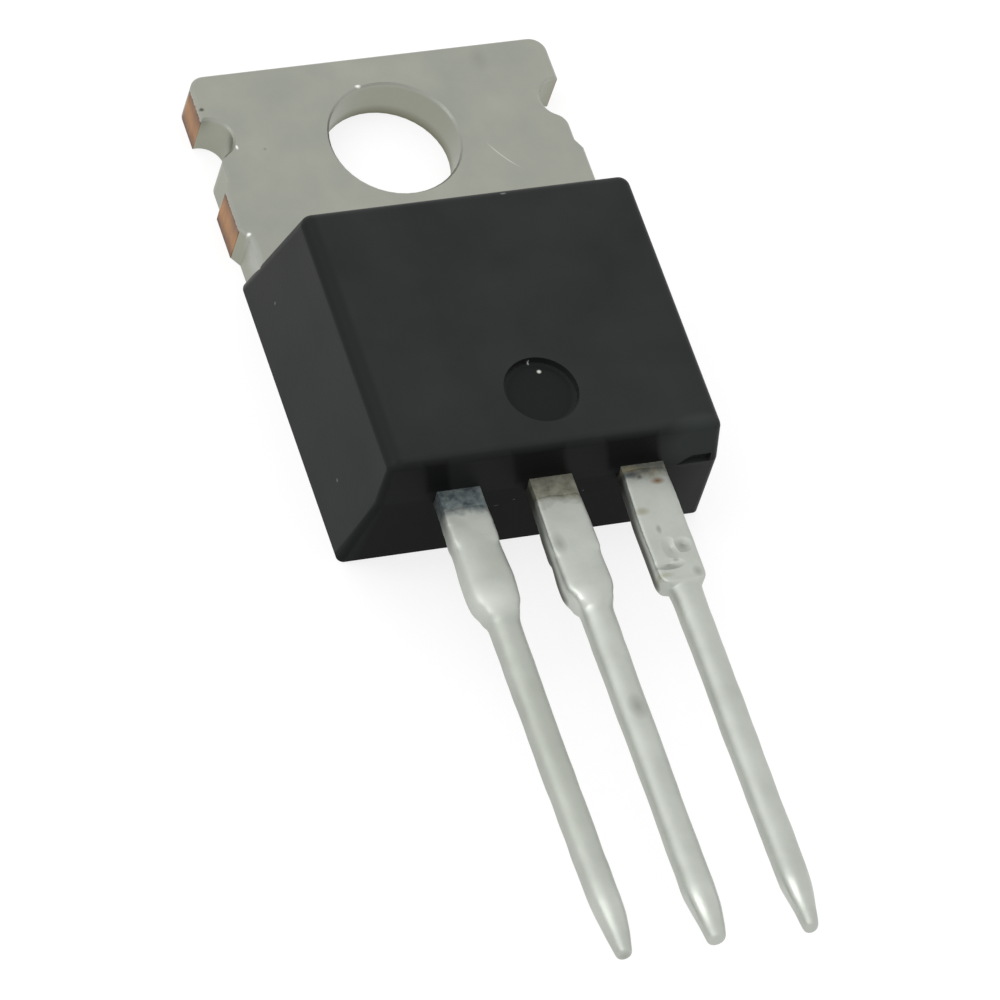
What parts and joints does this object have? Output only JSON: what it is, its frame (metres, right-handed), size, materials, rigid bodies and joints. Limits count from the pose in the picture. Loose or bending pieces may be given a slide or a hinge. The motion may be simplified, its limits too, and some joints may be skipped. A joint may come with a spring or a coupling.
{
  "type": "pnp transistor",
  "caption": "Through-hole power transistor: a drafted black epoxy moulding on a bolt-down metal tab, with flat straight leads in one row.",
  "frame": {"origin": "centre of the mounting hole on the back face of the tab", "axes": "+Z along the mounting hole, out of the front face; +Y to the free end of the tab, with the leads along -Y; +X to the emitter lead"},
  "size_m": [0.0102, 0.0291, 0.0044],
  "materials": {
    "plated_leadframe": "warm grey nickel plate, bare copper where the strip was sheared",
    "lead_solder": "solder that the leads were dipped in, satin, thicker at the shoulders and tips",
    "black_epoxy": "satin, fine moulded grain",
    "silicon": "polished",
    "die_solder": "dull",
    "bond_wire": "bright"
  },
  "bodies": {
    "root": {"collector_tab": "plated_leadframe", "base_lead": "plated_leadframe", "emitter_lead": "plated_leadframe", "moulded_body": "black_epoxy", "silicon_die": "silicon", "die_solder": "die_solder", "base_bond_wire": "bond_wire", "emitter_bond_wire": "bond_wire"}
  },
  "joints": []
}
